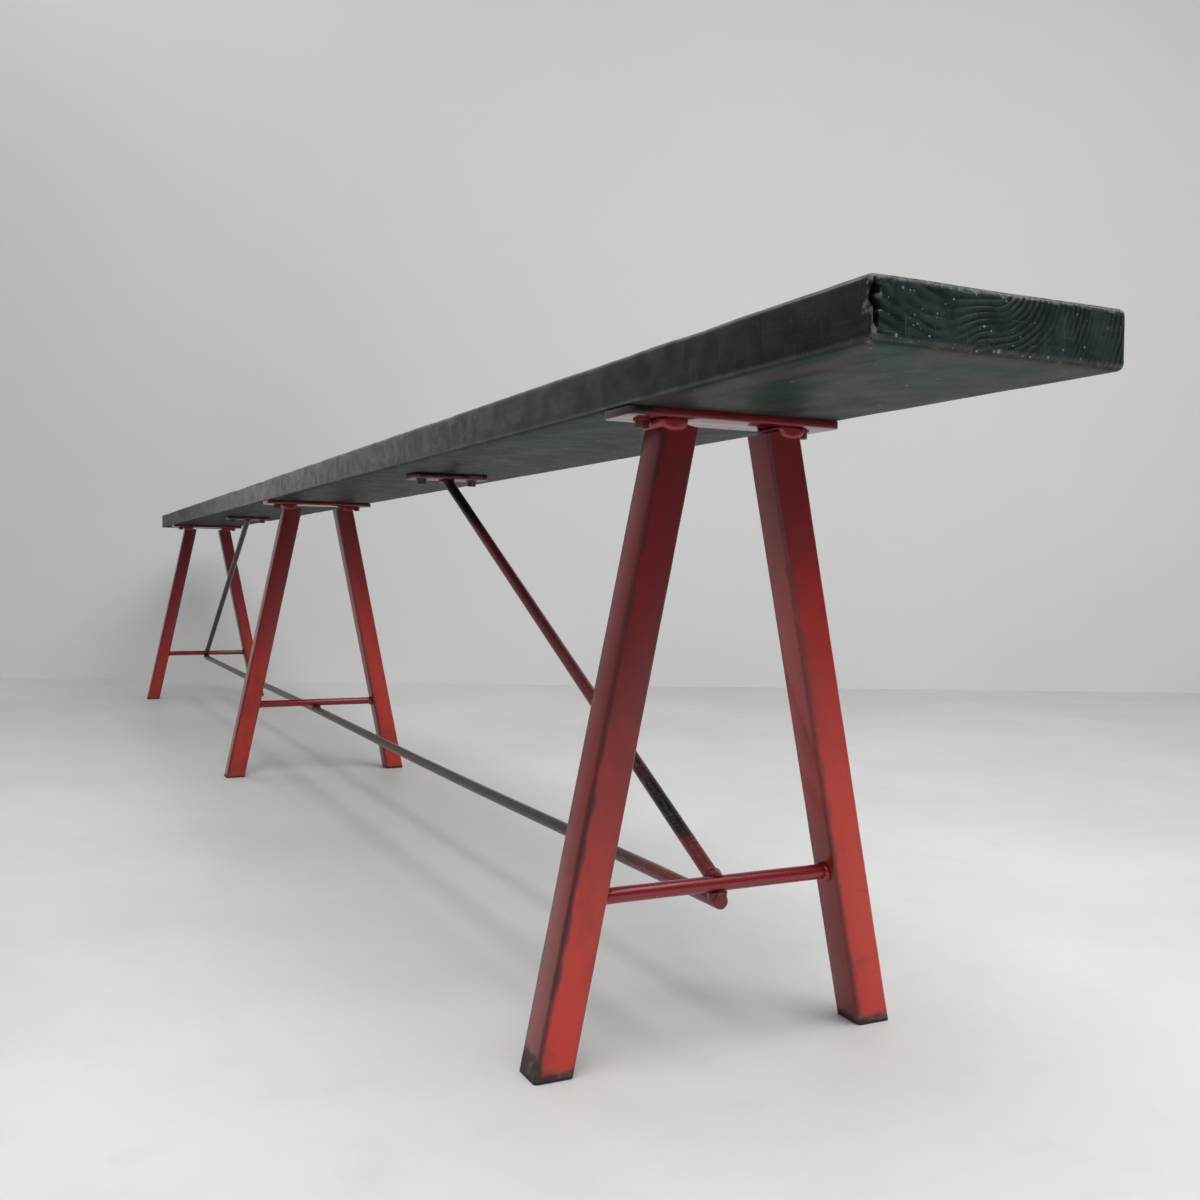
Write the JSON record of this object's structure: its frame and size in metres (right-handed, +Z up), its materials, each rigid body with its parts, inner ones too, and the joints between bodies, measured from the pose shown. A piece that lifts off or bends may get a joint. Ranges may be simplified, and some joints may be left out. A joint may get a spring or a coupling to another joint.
{
  "type": "long plank bench",
  "caption": "Long low bench: a painted timber plank on A-frame trestles of square tube, tied by a round stretcher and diagonal braces.",
  "frame": {"origin": "on the floor under the middle of the bench, the centre of the bounding box's base", "axes": "+X along the plank towards its near end, +Y across the plank, to the right when facing -X, +Z up"},
  "size_m": [2.74, 0.2576, 0.425],
  "materials": {
    "painted_plank": "worn dark green-black gloss paint over softwood",
    "red_frame": "brushed-on red gloss paint, worn at the corners and feet",
    "dark_brace": "dark red-brown paint, scratched",
    "worn_stretcher": "worn grey-brown bar with red paint left at its ends",
    "screw_steel": "painted over with the frame",
    "foot_plug": "scuffed black"
  },
  "bodies": {
    "root": {"brace_far": "dark_brace", "brace_near": "dark_brace", "brace_plate_far": "red_frame", "brace_plate_near": "red_frame", "brace_screws_far": "screw_steel", "brace_screws_near": "screw_steel", "brace_welds_far": "red_frame", "brace_welds_near": "red_frame", "crossbar_far": "red_frame", "crossbar_middle": "red_frame", "crossbar_near": "red_frame", "crossbar_welds_far": "red_frame", "crossbar_welds_middle": "red_frame", "crossbar_welds_near": "red_frame", "foot_plug_left_far": "foot_plug", "foot_plug_left_middle": "foot_plug", "foot_plug_left_near": "foot_plug", "foot_plug_right_far": "foot_plug", "foot_plug_right_middle": "foot_plug", "foot_plug_right_near": "foot_plug", "leg_left_far": "red_frame", "leg_left_middle": "red_frame", "leg_left_near": "red_frame", "leg_right_far": "red_frame", "leg_right_middle": "red_frame", "leg_right_near": "red_frame", "leg_welds_far": "red_frame", "leg_welds_middle": "red_frame", "leg_welds_near": "red_frame", "plank": "painted_plank", "plate_screws_far": "screw_steel", "plate_screws_middle": "screw_steel", "plate_screws_near": "screw_steel", "stretcher": "worn_stretcher", "stretcher_welds": "red_frame", "top_plate_far": "red_frame", "top_plate_middle": "red_frame", "top_plate_near": "red_frame"}
  },
  "joints": []
}
